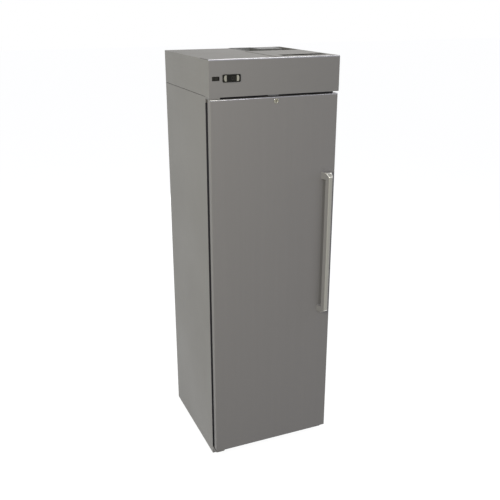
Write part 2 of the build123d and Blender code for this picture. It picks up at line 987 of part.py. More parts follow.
def finned_coil(x, y, z, stand_z, bend_sides):
    """A core with fins on both faces, end plates that stand on the floor, and return bends."""
    coil = block(x, grown(y, -fin_rise), z)
    fins = int((x[1] - x[0]) / fin_pitch)
    pitch = (x[1] - x[0]) / fins
    for index in range(1, fins):
        coil += block(mid_span(x[0] + index * pitch, fin_thickness), y, z)
    for end in (0, 1):
        inwards = coil_end_plate if end == 0 else -coil_end_plate
        coil += block((x[end], x[end] + inwards), y, (stand_z, z[1]))
    radius = bend_pitch / 2
    bends = int((z[1] - z[0] - bend_pitch / 2) / (2 * bend_pitch))
    first = sum(z) / 2 - (bends - 1) * bend_pitch
    for side in bend_sides:
        plate_x = x[1] if side > 0 else x[0]
        reach = bend_pitch + bend_diameter
        keep = block((plate_x, plate_x + side * reach), grown(y, reach), grown(z, reach))
        for index in range(bends):
            middle = first + 2 * index * bend_pitch
            bend = Rot(90, 0, 0) * Torus(radius, bend_diameter / 2)
            coil += Pos(plate_x, sum(y) / 2, middle) * bend & keep
    return coil


def evaporator_box():
    """The box, as boards: a floor round the ducts, four walls and a lid."""
    hollow_x = grown(box_x, -box_wall)
    hollow_y = grown(box_y, -box_wall)
    boards = boards_round_ducts(hollow_x, hollow_y, (housing_z, tub_z))
    walls_z = (housing_z, lid_z)
    boards.append(block(box_x, (box_y[0], hollow_y[0]), walls_z))
    boards.append(block(box_x, (hollow_y[1], box_y[1]), walls_z))
    boards.append(block((box_x[0], hollow_x[0]), hollow_y, walls_z))
    drain_wall_x = (hollow_x[1], box_x[1])
    drain_bore = rod_x(drain_wall_x, drain_y, drain_z, drain_diameter + 2 * seat_gap)
    boards.append(block(drain_wall_x, hollow_y, walls_z) - drain_bore)
    boards.append(block(box_x, box_y, (lid_z, box_top)))
    return boards


def drain_hose():
    x = (box_x[1] - box_wall, box_x[1] + drain_reach)
    route = [
        (x[0], drain_y, drain_z),
        (x[1], drain_y, drain_z),
        (x[1], drain_y, drain_z - drain_drop),
    ]
    bore = pipe(route, drain_inside_diameter, drain_bend)
    return pipe(route, drain_diameter, drain_bend) - bore


def evaporator_motor():
    """The fan motor, on the plate whose round orifice covers the duct."""
    plate_span = across(duct_width + 2 * orifice_margin)
    plate_z = (0, orifice_thickness)
    plate = block(plate_span, plate_span, plate_z) - rod_z(0, 0, plate_z, fan_hole_diameter)
    return plate + fan_motor(fan_hole_diameter, fan_lift)


def evaporator_coil():
    return finned_coil(
        grown(box_x, -box_wall - coil_end_gap),
        (front_y + coil_setback, front_y + coil_setback + coil_depth),
        (tub_z + coil_lift, lid_z - coil_top_gap),
        tub_z,
        (-1, 1),
    )


def condenser_stub(rise):
    x = bay_x[0] + condenser_turn - pipe_diameter
    y = (condenser_y[0], condenser_y[0] + fin_rise)
    return rod_y(x, y, housing_z + rise, stub_diameter)


def condenser_coil():
    coil = finned_coil(bay_x, condenser_y, condenser_z, housing_z, (1,))
    return coil + condenser_stub(liquid_rise) + condenser_stub(discharge_rise)


def fan_shroud():
    z = (housing_z, condenser_z[1])
    plate = block(bay_x, (shroud_y, shroud_back), z)
    for end, inwards in ((0, shroud_thickness), (1, -shroud_thickness)):
        plate += block((bay_x[end], bay_x[end] + inwards), (condenser_y[1], shroud_back), z)
    plate += block(bay_x, (condenser_y[1], shroud_back), (z[1] - shroud_thickness, z[1]))
    return plate - rod_y(
        condenser_fan_x, (shroud_y, shroud_back), condenser_fan_z, shroud_hole_diameter
    )


def mount_places():
    return [(compressor_x + dx, compressor_y + dy)
            for dx in across(mount_spread_x) for dy in across(mount_spread_y)]


def compressor():
    plan = Pos(compressor_x, compressor_y) * RectangleRounded(
        compressor_length, compressor_width, compressor_corner
    )
    can = prism_z(plan, (can_z, can_z + compressor_height))
    can = fillet(can.faces().sort_by(Axis.Z)[-1].edges(), compressor_top_radius)
    can = fillet(can.faces().sort_by(Axis.Z)[0].edges(), compressor_base_radius)
    plate = block(
        mid_span(compressor_x, compressor_plate_length),
        mid_span(compressor_y, compressor_plate_width),
        (plate_low, can_z),
    )
    for x, y in mount_places():
        plate -= rod_z(x, y, (plate_low, can_z), mount_neck_diameter + 2 * seat_gap)
    front_stub_y = (compressor_front - stub_length / 2, compressor_y)
    left_stub_x = (compressor_left - stub_length / 2, compressor_x)
    can += rod_y(discharge_x, front_stub_y, discharge_z, stub_diameter)
    can += rod_x(left_stub_x, compressor_y, suction_z, suction_stub_diameter)
    return can + plate


def terminal_cover():
    """The plastic cover over the compressor's terminals, on its right end."""
    right = compressor_x + compressor_length / 2
    x = (right, right + terminal_width)
    low = can_z + compressor_base_radius
    return block(x, mid_span(compressor_y, terminal_length), (low, low + terminal_height))


def compressor_mounts():
    mounts = []
    for x, y in mount_places():
        pad = rod_z(x, y, (housing_z, plate_low), mount_diameter)
        neck = rod_z(x, y, (plate_low, can_z), mount_neck_diameter)
        collar = rod_z(x, y, (can_z, can_z + mount_collar), mount_collar_diameter)
        mounts.append(pad + neck + collar)
    return mounts


def evaporation_tray():
    x = (box_x[1] + tray_side_gap, inner_face - tray_side_gap)
    y = (front_y + tray_setback, front_y + tray_setback + tray_depth)
    z = (housing_z, housing_z + tray_height)
    hollow = block(grown(x, -tray_wall), grown(y, -tray_wall), (z[0] + tray_wall, z[1]))
    return block(x, y, z) - hollow


def electrical_box():
    x = mid_span(electrical_x, electrical_width)
    outer = block(x, electrical_y, (housing_z, top_z))
    hollow = block(
        grown(x, -electrical_wall),
        grown(electrical_y, -electrical_wall),
        (housing_z, top_z - electrical_wall),
    )
    opening = block(
        mid_span(inlet_x, inlet_width + 2 * seat_gap),
        (electrical_y[1] - electrical_wall, electrical_y[1]),
        mid_span(inlet_z, inlet_height + 2 * seat_gap),
    )
    return outer - hollow - opening


def power_inlet():
    body = block(
        mid_span(inlet_x, inlet_width),
        (back_y - inlet_body_depth, back_y),
        mid_span(inlet_z, inlet_height),
    )
    flange = block(
        mid_span(inlet_x, inlet_flange_width),
        (back_face - inlet_flange, back_face),
        mid_span(inlet_z, inlet_flange_height),
    )
    socket_floor = back_y - plug_depth
    socket = block(
        mid_span(inlet_x, plug_width), (socket_floor, back_y), mid_span(inlet_z, plug_height)
    )
    inlet = body + flange - socket
    pin_y = (socket_floor, socket_floor + pin_length)
    for dx, dz in ((-pin_spread, -pin_offset), (0.0, pin_offset), (pin_spread, -pin_offset)):
        inlet += block(
            mid_span(inlet_x + dx, pin_height), pin_y, mid_span(inlet_z + dz, pin_width)
        )
    return inlet


def filter_drier():
    body = rod_y(lane_x, grown(drier_y, -drier_neck), liquid_z, drier_diameter)
    return body + rod_y(lane_x, drier_y, liquid_z, stub_diameter)


def condenser_loop(z):
    """The corner points from a stub on the condenser's face round to the pipe lane."""
    x = bay_x[0] + condenser_turn - pipe_diameter
    y = condenser_y[0] - condenser_turn
    return [(x, condenser_y[0], z), (x, y, z), (lane_x, y, z)]


def discharge_pipe():
    start = compressor_front - stub_length / 2
    turn = start - 2 * pipe_bend
    route = condenser_loop(discharge_z)
    route += [
        (lane_x, turn, discharge_z),
        (discharge_x, turn, discharge_z),
        (discharge_x, start, discharge_z),
    ]
    return pipe(route, pipe_diameter, pipe_bend)


def liquid_pipe():
    route = condenser_loop(liquid_z) + [(lane_x, drier_y[0], liquid_z)]
    return pipe(route, pipe_diameter, pipe_bend)


def capillary():
    turn = drier_y[1] + pipe_bend
    route = [(lane_x, drier_y[1], liquid_z), (lane_x, turn, liquid_z), (box_x[1], turn, liquid_z)]
    return pipe(route, capillary_diameter, capillary_bend)


def suction_pipe():
    end_x = compressor_left - stub_length / 2
    turn_x = (box_x[1] + end_x) / 2
    start_y = compressor_y - suction_offset
    route = [
        (box_x[1], start_y, suction_z),
        (turn_x, start_y, suction_z),
        (turn_x, compressor_y, suction_z),
        (end_x, compressor_y, suction_z),
    ]
    return pipe(route, suction_diameter, pipe_bend)


# Door

def pan_block(inset):
    width = across(2 * (door_x - inset))
    return block(width, (door_y + inset, frame_y), (door_low + inset, door_high - inset))


def bush_bores():
    gap = 2 * seat_gap
    deep = hinge_bush_length + seat_gap
    return [
        rod_z(hinge_x, hinge_y, (door_high - deep, door_high), hinge_bush_diameter + gap),
        rod_z(hinge_x, hinge_y, (door_low, door_low + deep), hinge_bush_diameter + gap),
    ]


def handle_screw_places():
    x = door_x - handle_edge_inset
    middle = base_z + handle_centre
    offset = (handle_length - bracket_height) / 2
    return [(x + dx, middle + dz)
            for dx in across(handle_screw_spread) for dz in (-offset, offset)]


def door_skin():
    pan = pan_block(0.0)
    front = pan.faces().sort_by(Axis.Y)[0]
    pan = fillet(front.edges(), door_edge_radius) - pan_block(sheet)
    bore = lock_tube_diameter + 2 * seat_gap
    pan -= rod_y(0, (door_y, door_y + sheet), lock_z, bore)
    for x, z in handle_screw_places():
        pan -= rod_y(x, (door_y, door_y + sheet), z, handle_screw_diameter + 2 * seat_gap)
    for cutter in bush_bores():
        pan -= cutter
    return pan


def plateau(inset):
    """The raised middle of the inner panel, with its back face and its sides inset alike."""
    width = across(2 * (frame_inner_x - plateau_inset - inset))
    depth = (frame_y, gasket_y + plateau_rise - inset)
    return block(width, depth, grown(panel_z, -plateau_inset - inset))


def door_foam():
    foam = pan_block(sheet)
    foam += block(across(2 * frame_inner_x), (frame_y, gasket_y - sheet), panel_z)
    foam += plateau(sheet)
    tube = lock_tube_diameter + 2 * seat_gap
    nut = lock_nut_diameter + 2 * seat_gap
    nut_depth = sheet + lock_nut_thickness + seat_gap
    foam -= rod_y(0, (door_y, frame_y), lock_z, tube)
    foam -= rod_y(0, (door_y, door_y + nut_depth), lock_z, nut)
    head = handle_screw_head_diameter + 2 * seat_gap
    head_depth = sheet + handle_screw_head + seat_gap
    for x, z in handle_screw_places():
        foam -= rod_y(x, (door_y, door_y + head_depth), z, head)
    for cutter in bush_bores():
        foam -= cutter
    return foam


def door_frame():
    frame = block(across(2 * frame_outer_x), (frame_y, gasket_y), frame_z)
    frame -= block(across(2 * frame_inner_x), (frame_y, gasket_y), panel_z)
    margin = lock_tube_diameter / 2 + cam_gap
    pocket_y = (frame_y, cam_y + cam_thickness + cam_gap)
    pocket = block((-margin, cam_length + cam_gap), pocket_y, (lock_z - margin, frame_z[1]))
    return frame - pocket


def door_inner_panel():
    sheet_y = (gasket_y - sheet, gasket_y)
    flat = block(across(2 * frame_inner_x), sheet_y, panel_z)
    hollow = plateau(sheet)
    return flat + (plateau(0.0) & behind_flat()) - hollow


def behind_flat():
    y = (gasket_y - sheet, gasket_y + plateau_rise)
    return block(across(cabinet_width), y, (base_z, housing_z))


def gasket_ring(inset, width, y):
    outer_z = (door_low + inset, door_high - inset)
    ring = block(across(2 * (door_x - inset)), y, outer_z)
    return ring - block(across(2 * (door_x - inset - width)), y, grown(outer_z, -width))


def door_gasket():
    foot_y = (gasket_y, gasket_y + gasket_foot_depth)
    seal_y = (gasket_y + gasket_foot_depth, gasket_y + gasket_depth)
    foot = gasket_ring(gasket_inset + gasket_lip, gasket_width - 2 * gasket_lip, foot_y)
    return foot + gasket_ring(gasket_inset, gasket_width, seal_y)


def hinge_bushes():
    tube = hinge_bush_diameter
    collar = hinge_collar_diameter
    bore = hinge_pin_diameter + 2 * running_gap
    bracket_low = housing_z - top_hinge_thickness
    bracket_high = door_low - bottom_hinge_gap
    top_z_span = (door_high - hinge_bush_length, bracket_low - hinge_collar_gap)
    bottom_z_span = (bracket_high + hinge_collar_gap, door_low + hinge_bush_length)
    top = rod_z(hinge_x, hinge_y, top_z_span, tube)
    top += rod_z(hinge_x, hinge_y, (door_high, top_z_span[1]), collar)
    bottom = rod_z(hinge_x, hinge_y, bottom_z_span, tube)
    bottom += rod_z(hinge_x, hinge_y, (bottom_z_span[0], door_low), collar)
    return [
        top - rod_z(hinge_x, hinge_y, top_z_span, bore),
        bottom - rod_z(hinge_x, hinge_y, bottom_z_span, bore),
    ]


# Handle

def handle_half(y):
    """Half the width of the handle's tapering section at a depth."""
    share = (y - nose_y) / (door_y - nose_y)
    return (handle_nose_width + (handle_root_width - handle_nose_width) * share) / 2


def handle_section(back):
    """The section from above, from a depth at its back to its nose, with a rounded nose."""
    face = outline(
        (handle_x - handle_half(back), back),
        (handle_x - handle_half(nose_y), nose_y),
        (handle_x + handle_half(nose_y), nose_y),
        (handle_x + handle_half(back), back),
    )
    return fillet(face.vertices().sort_by(Axis.Y)[:2], handle_nose_radius)


def inside_section(gap):
    """The hollow of the bar, less a gap."""
    return offset(handle_section(grip_y), -handle_wall - gap, kind=Kind.INTERSECTION)


def handle_bar():
    return prism_z(handle_section(grip_y), bar_z) - prism_z(inside_section(0.0), bar_z)


def handle_bracket(side):
    """One end bracket, whose outer end slopes towards the nose, with a spigot in the bar."""
    end = handle_z[1] if side > 0 else handle_z[0]
    root = bar_z[1] if side > 0 else bar_z[0]
    body = prism_z(handle_section(door_y), (root, end))
    profile = outline(
        (door_y, root),
        (door_y, end),
        (grip_y, end),
        (nose_y, end - side * bracket_slope_drop),
        (nose_y, root),
    )
    bends = [
        profile.vertices().sort_by_distance((grip_y, end, 0))[0],
        profile.vertices().sort_by_distance((nose_y, end - side * bracket_slope_drop, 0))[0],
    ]
    profile = fillet(bends, bracket_edge_radius)
    body = body & prism_x(profile, mid_span(handle_x, handle_root_width))
    body += prism_z(inside_section(seat_gap), (root - side * spigot_length, root))
    for x, z in handle_screw_places():
        deep = handle_screw_reach + seat_gap
        body -= rod_y(x, (door_y - deep, door_y), z, handle_screw_diameter + 2 * seat_gap)
    return body


def handle_screws():
    length = handle_screw_reach + sheet
    body = screw(
        length, handle_screw_diameter, handle_screw_head_diameter, handle_screw_head
    )
    return [Pos(x, door_y + sheet, z) * Rot(-90, 0, 0) * body for x, z in handle_screw_places()]


# Lock

def lock_housing():
    face = rod_y(0, (door_y - lock_face_rise, door_y), lock_z, lock_face_diameter)
    tube_end = cam_y - cam_gap
    tube = rod_y(0, (door_y, tube_end), lock_z, lock_tube_diameter)
    nut_y = (door_y + sheet, door_y + sheet + lock_nut_thickness)
    nut = rod_y(0, nut_y, lock_z, lock_nut_diameter)
    bore = rod_y(0, (door_y - lock_face_rise, tube_end), lock_z, barrel_diameter + 2 * running_gap)
    return face + tube + nut - bore


def lock_barrel():
    face_y = door_y - lock_face_rise + barrel_recess
    barrel = rod_y(0, (face_y, cam_y), lock_z, barrel_diameter)
    slot_z_span = mid_span(lock_z, key_slot_height)
    return barrel - block(across(key_slot_width), (face_y, face_y + key_slot_depth), slot_z_span)


def lock_cam():
    y = (cam_y, cam_y + cam_thickness)
    tip = cam_length - cam_width / 2
    boss = rod_y(0, y, lock_z, barrel_diameter)
    arm = block((0, tip), y, mid_span(lock_z, cam_width))
    return boss + arm + rod_y(tip, y, lock_z, cam_width)


save("side_panel_left", side_panel(-1))
save("side_panel_right", side_panel(1))
save("base_pan", base_pan())
save("top_deck", top_deck())
save("back_panel", back_panel())
save("cabinet_foam", *cabinet_foam())
save("breaker_frame", breaker_frame())
save("inner_liner", inner_liner())
save("glide_feet", *glide_feet())
save("shelf_uprights", *shelf_uprights())
save("shelf_clips", *shelf_clips())
for number, step in enumerate(shelf_steps_used(), 1):
    save(f"shelf_{number}", wire_shelf(step))
save("fan_guard", fan_guard())
save("outlet_louvre", outlet_louvre())
save("hinge_bracket_top", hinge_bracket_top())
save("hinge_bracket_bottom", hinge_bracket_bottom())
save("hinge_screws", *hinge_screws())
save("strike_plate", strike_plate())
save("fascia", fascia())
save("housing_side_left", housing_side(-1, plate_z))
save("housing_side_right", housing_side(1, top_z))
save("housing_back", housing_back())
save("top_plate_left", top_plate_left())
save("top_cover_right", top_cover_right())
save("switch_housing", switch_housing())
save("switch_rocker", switch_rocker())
save("controller_case", controller_case())
save("controller_window", window_block())
save("button_left", button(-1))
save("button_right", button(1))
save("evaporator_box", *evaporator_box())
save("evaporator_coil", evaporator_coil())
evaporator_fan_place = Pos(fan_x, fan_y, tub_z)
evaporator_rotor = fan_rotor(fan_hole_diameter / 2 - fan_tip_gap, evaporator_blade_chord, fan_lift)
save("evaporator_motor", evaporator_fan_place * evaporator_motor())
save("evaporator_fan_rotor", evaporator_fan_place * evaporator_rotor)
save("drain_hose", drain_hose())
save("evaporation_tray", evaporation_tray())
save("condenser_coil", condenser_coil())
save("fan_shroud", fan_shroud())
condenser_fan_place = Pos(condenser_fan_x, shroud_back, condenser_fan_z) * Rot(-90, 0, 0)
condenser_motor = fan_motor(shroud_hole_diameter, condenser_fan_back)
condenser_rotor = fan_rotor(condenser_fan_diameter / 2, condenser_blade_chord, condenser_fan_back)
save("condenser_motor", condenser_fan_place * condenser_motor)
save("condenser_fan_rotor", condenser_fan_place * condenser_rotor)
save("compressor", compressor(), terminal_cover())
save("compressor_mounts", *compressor_mounts())
save("electrical_box", electrical_box())
save("power_inlet", power_inlet())
save("filter_drier", filter_drier())
save("refrigerant_pipes", discharge_pipe(), liquid_pipe(), capillary(), suction_pipe())
save("door_skin", door_skin())
save("door_foam", door_foam())
save("door_frame", door_frame())
save("door_inner_panel", door_inner_panel())
save("door_gasket", door_gasket())
save("hinge_bushes", *hinge_bushes())
save("handle_bar", handle_bar())
save("handle_brackets", handle_bracket(-1), handle_bracket(1))
save("handle_screws", *handle_screws())
save("lock_housing", lock_housing())
save("lock_barrel", lock_barrel(), lock_cam())
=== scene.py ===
import json
import math

import bmesh
import bpy
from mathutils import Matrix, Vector


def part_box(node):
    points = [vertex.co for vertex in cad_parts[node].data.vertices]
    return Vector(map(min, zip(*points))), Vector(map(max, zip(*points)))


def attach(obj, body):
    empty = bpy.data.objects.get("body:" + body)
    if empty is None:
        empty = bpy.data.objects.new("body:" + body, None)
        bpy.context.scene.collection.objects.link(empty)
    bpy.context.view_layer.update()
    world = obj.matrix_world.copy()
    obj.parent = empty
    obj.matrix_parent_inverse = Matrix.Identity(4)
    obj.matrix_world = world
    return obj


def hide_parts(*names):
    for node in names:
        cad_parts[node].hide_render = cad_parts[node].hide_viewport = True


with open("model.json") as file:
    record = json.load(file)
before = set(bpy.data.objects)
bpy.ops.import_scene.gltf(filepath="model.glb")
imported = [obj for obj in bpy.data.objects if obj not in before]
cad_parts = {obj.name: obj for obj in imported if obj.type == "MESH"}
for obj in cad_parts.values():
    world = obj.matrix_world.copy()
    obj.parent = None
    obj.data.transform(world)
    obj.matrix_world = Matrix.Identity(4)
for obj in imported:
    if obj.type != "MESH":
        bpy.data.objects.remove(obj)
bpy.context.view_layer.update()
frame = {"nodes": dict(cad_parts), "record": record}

# An upright refrigerated cabinet in brushed stainless steel, on a white ground.
# Everything is in metres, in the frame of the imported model.

# View
CAMERA_PLACE = (-1.25662, -2.96199, 2.13497)
CAMERA_ELEVATION = 19.985
CAMERA_AZIMUTH = -22.983
LEVEL_TILT = 90.0
CAMERA_LENS = 49.77
CAMERA_SHIFT = (-0.0002, -0.0004)
CAMERA_REACH = 100.0
SENSOR = 36.0

# Ground and sky
FLOOR_REACH = 30.0
FLOOR_GLOW = 0.95
FLOOR_SHADOW = (0.14, 0.14, 0.14)
FLOOR_BOUNCE = (0.30, 0.295, 0.25)
BLACK = (0.0, 0.0, 0.0)
WHITE = (1.0, 1.0, 1.0, 1.0)
WORLD_FILL = (0.80, 0.84, 1.00, 1.0)
WORLD_STRENGTH = 0.35
SKY_STRENGTH = 1.0

# Lamps: name, place, aim, width, height, power, colour
LAMPS = (
    ("key", (-0.1, -5.2, 2.4), (0.0, 0.0, 1.0), 0.4, 0.4, 49.0, (1.0, 0.97, 0.96)),
    ("top", (1.1, 0.9, 4.43), (0.0, 0.0, 1.9), 1.0, 1.0, 60.0, (1.0, 0.98, 0.92)),
    ("left", (-3.0, -2.5, 2.9), (0.0, 0.0, 1.3), 1.2, 1.2, 114.0, (1.0, 0.97, 0.75)),
    ("right", (4.2, -0.6, 2.6), (0.0, 0.0, 1.0), 1.8, 2.4, 40.0, (1.0, 0.99, 0.95)),
    ("back", (0.9, 4.6, 0.9), (0.2, 0.0, 0.9), 1.4, 1.4, 50.0, (1.0, 0.99, 0.97)),
)


# Node helpers

# Most of a noise pattern lies between these two values
NOISE_LOW = 0.3
NOISE_HIGH = 0.7

# The mix node's sockets for its two colours, and the one for its result
MIX_COLOURS = slice(6, 8)
MIX_RESULT = 2


def link(tree, output, socket):
    tree.links.new(output, socket)


def coordinates(tree, scale):
    """Object coordinates, scaled on each axis, so that a pattern has its real size."""
    place = tree.nodes.new("ShaderNodeTexCoord")
    mapping = tree.nodes.new("ShaderNodeMapping")
    mapping.inputs["Scale"].default_value = scale
    link(tree, place.outputs["Object"], mapping.inputs["Vector"])
    return mapping.outputs["Vector"]


def even(value):
    """The same value three times, for a pattern's scale or a grey."""
    return (value, value, value)


def noise(tree, scale, detail=2.0, roughness=0.5):
    node = tree.nodes.new("ShaderNodeTexNoise")
    node.inputs["Scale"].default_value = 1.0
    node.inputs["Detail"].default_value = detail
    node.inputs["Roughness"].default_value = roughness
    link(tree, coordinates(tree, scale), node.inputs["Vector"])
    return node.outputs["Fac"]


def cells(tree, scale, output="Distance"):
    node = tree.nodes.new("ShaderNodeTexVoronoi")
    node.inputs["Scale"].default_value = 1.0
    link(tree, coordinates(tree, scale), node.inputs["Vector"])
    return node.outputs[output]


def spread(tree, value, low, high, start=NOISE_LOW, end=NOISE_HIGH):
    """A value, mapped from one range to another."""
    node = tree.nodes.new("ShaderNodeMapRange")
    node.inputs["From Min"].default_value = start
    node.inputs["From Max"].default_value = end
    node.inputs["To Min"].default_value = low
    node.inputs["To Max"].default_value = high
    link(tree, value, node.inputs["Value"])
    return node.outputs["Result"]


def around(tree, value, middle, change, **limits):
    """A pattern's value, mapped to both sides of a middle."""
    return spread(tree, value, middle - change, middle + change, **limits)


def combine(tree, operation, first, second):
    node = tree.nodes.new("ShaderNodeMath")
    node.operation = operation
    for socket, value in zip(node.inputs, (first, second)):
        if isinstance(value, float):
            socket.default_value = value
        else:
            link(tree, value, socket)
    return node.outputs["Value"]


def blend_colours(tree, factor, first, second):
    """A mix of two colours, each written as three numbers or taken from a node."""
    node = tree.nodes.new("ShaderNodeMix")
    node.data_type = "RGBA"
    for socket, colour in zip(node.inputs[MIX_COLOURS], (first, second)):
        if isinstance(colour, tuple):
            socket.default_value = (*colour, 1.0)
        else:
            link(tree, colour, socket)
    link(tree, factor, node.inputs["Factor"])
    return node.outputs[MIX_RESULT]


def shade(colour, factor):
    return tuple(channel * factor for channel in colour)


def shaded(name, metallic=0.0, roughness=0.5, **settings):
    """A new material, its tree and its shader, with the settings that are the same all over."""
    material = bpy.data.materials.new(name)
    material.use_nodes = True
    tree = material.node_tree
    shader = tree.nodes["Principled BSDF"]
    shader.inputs["Metallic"].default_value = metallic
    shader.inputs["Roughness"].default_value = roughness
    for socket, value in settings.items():
        shader.inputs[socket.replace("_", " ")].default_value = value
    return material, tree, shader


def tint(tree, shader, factor, colour, dark, light):
    """Let a pattern move the colour between a darker and a lighter shade of it."""
    tone = blend_colours(tree, factor, shade(colour, dark), shade(colour, light))
    link(tree, tone, shader.inputs["Base Color"])


def emboss(tree, shader, height, depth, strength):
    """Let a pattern raise and sink the surface."""
    node = tree.nodes.new("ShaderNodeBump")
    node.inputs["Strength"].default_value = strength
    node.inputs["Distance"].default_value = depth
    link(tree, height, node.inputs["Height"])
    link(tree, node.outputs["Normal"], shader.inputs["Normal"])


# Brushed steel

STEEL = (0.186, 0.180, 0.173)
STEEL_METAL = 0.20
STEEL_ROUGHNESS = 0.40
STEEL_CONTRAST = 0.03
STEEL_CLOUDS = 2.6
STEEL_CLOUD_GLOSS = 0.03
GRAIN_FINE = 1500.0
GRAIN_RUN = 14.0
GRAIN_BREAK = 0.6
GRAIN_SHARE = 0.7
GRAIN_GLOSS = 0.05
GRAIN_DEPTH = 0.00002
GRAIN_STRENGTH = 0.6
BAND_FINE = 55.0
BAND_RUN = 1.2
BAND_SHARE = 0.3


def along(axes, across_scale, run_scale):
    """Scales for a pattern that is stretched along some axes."""
    return tuple(run_scale if axis in axes else across_scale for axis in "XYZ")


def brushed(name, colour, axes, metallic=STEEL_METAL, roughness=STEEL_ROUGHNESS, edge=1.0):
    """Steel with a fine grain along some axes, faint bands, and a slow change in its gloss."""
    material, tree, shader = shaded(name, metallic, Specular_Tint=(*even(edge), 1.0))
    grain = noise(tree, along(axes, GRAIN_FINE, GRAIN_RUN), detail=3.0, roughness=GRAIN_BREAK)
    bands = noise(tree, along(axes, BAND_FINE, BAND_RUN))
    clouds = noise(tree, even(STEEL_CLOUDS), detail=3.0)
    streaks = combine(
        tree,
        "ADD",
        combine(tree, "MULTIPLY", grain, GRAIN_SHARE),
        combine(tree, "MULTIPLY", bands, BAND_SHARE),
    )
    factor = spread(tree, streaks, 0.0, 1.0)
    tint(tree, shader, factor, colour, 1.0 - STEEL_CONTRAST, 1.0 + STEEL_CONTRAST)
    gloss = combine(
        tree,
        "ADD",
        around(tree, grain, roughness, GRAIN_GLOSS),
        around(tree, clouds, 0.0, STEEL_CLOUD_GLOSS),
    )
    link(tree, gloss, shader.inputs["Roughness"])
    emboss(tree, shader, grain, GRAIN_DEPTH, GRAIN_STRENGTH)
    return material


# Galvanised sheet

ZINC_METAL = 0.60
ZINC_CRYSTALS = 85.0
ZINC_FINE = 400.0
ZINC_DARK = 0.93
ZINC_LIGHT = 1.06
ZINC_CRYSTAL_GLOSS = 0.04
ZINC_FINE_GLOSS = 0.03
ZINC_DEPTH = 0.00002
ZINC_STRENGTH = 0.5


def spangled(name, colour, roughness):
    """Galvanised sheet, with the soft crystals of its zinc."""
    material, tree, shader = shaded(name, ZINC_METAL)
    split = tree.nodes.new("ShaderNodeSeparateColor")
    link(tree, cells(tree, even(ZINC_CRYSTALS), output="Color"), split.inputs["Color"])
    fine = noise(tree, even(ZINC_FINE), detail=3.0)
    tint(tree, shader, split.outputs["Red"], colour, ZINC_DARK, ZINC_LIGHT)
    gloss = combine(
        tree,
        "ADD",
        around(tree, split.outputs["Green"], roughness, ZINC_CRYSTAL_GLOSS, start=0.0, end=1.0),
        around(tree, fine, 0.0, ZINC_FINE_GLOSS),
    )
    link(tree, gloss, shader.inputs["Roughness"])
    emboss(tree, shader, fine, ZINC_DEPTH, ZINC_STRENGTH)
    return material


# Other metals

METAL_CLOUDS = 22.0
METAL_GLOSS = 0.06
METAL_DEPTH = 0.00002
METAL_STRENGTH = 0.4


def plain_metal(name, colour, roughness, scale=500.0, contrast=0.06, metallic=1.0):
    """Cast, drawn or plated metal, with a fine even grain."""
    material, tree, shader = shaded(name, metallic)
    grain = noise(tree, even(scale), detail=3.0)
    clouds = noise(tree, even(METAL_CLOUDS))
    mixed = combine(tree, "MULTIPLY", combine(tree, "ADD", grain, clouds), 0.5)
    factor = spread(tree, mixed, 0.0, 1.0)
    tint(tree, shader, factor, colour, 1.0 - contrast, 1.0 + contrast)
    link(tree, around(tree, grain, roughness, METAL_GLOSS), shader.inputs["Roughness"])
    emboss(tree, shader, grain, METAL_DEPTH, METAL_STRENGTH)
    return material


# Plastic and rubber

PLASTIC_CLOUDS = 30.0
PLASTIC_CONTRAST = 0.08
PLASTIC_GLOSS = 0.05
PLASTIC_STRENGTH = 0.5
COAT_ROUGHNESS = 0.12


def moulded(name, colour, roughness, texture=900.0, depth=0.00003, coat=0.0, gloss=0.5):
    """Moulded plastic or rubber, with a fine spark texture."""
    settings = {"Coat_Weight": coat, "Coat_Roughness": COAT_ROUGHNESS, "Specular_IOR_Level": gloss}
    material, tree, shader = shaded(name, **settings)
    pits = cells(tree, even(texture))
    clouds = noise(tree, even(PLASTIC_CLOUDS), detail=3.0)
    factor = spread(tree, clouds, 0.0, 1.0)
    tint(tree, shader, factor, colour, 1.0 - PLASTIC_CONTRAST, 1.0 + PLASTIC_CONTRAST)
    link(tree, around(tree, clouds, roughness, PLASTIC_GLOSS), shader.inputs["Roughness"])
    emboss(tree, shader, pits, depth, PLASTIC_STRENGTH)
    return material


# Insulating foam

FOAM_ROUGHNESS = 0.9
FOAM_CLOUDS = 9.0
FOAM_DARK = 0.9
FOAM_LIGHT = 1.06
FOAM_DEPTH = 0.0004
FOAM_STRENGTH = 0.7


def foamed(name, colour, scale=260.0):
    """Cut insulating foam, with its open cells."""
    material, tree, shader = shaded(name, roughness=FOAM_ROUGHNESS)
    pores = cells(tree, even(scale))
    clouds = noise(tree, even(FOAM_CLOUDS), detail=4.0)
    tint(tree, shader, spread(tree, clouds, 0.0, 1.0), colour, FOAM_DARK, FOAM_LIGHT)
    emboss(tree, shader, pores, FOAM_DEPTH, FOAM_STRENGTH)
    return material


# Materials

# Surface of the display's window and of what lies behind it
SMOKED = {"texture": 3000.0, "depth": 0.000002, "gloss": 0.12}

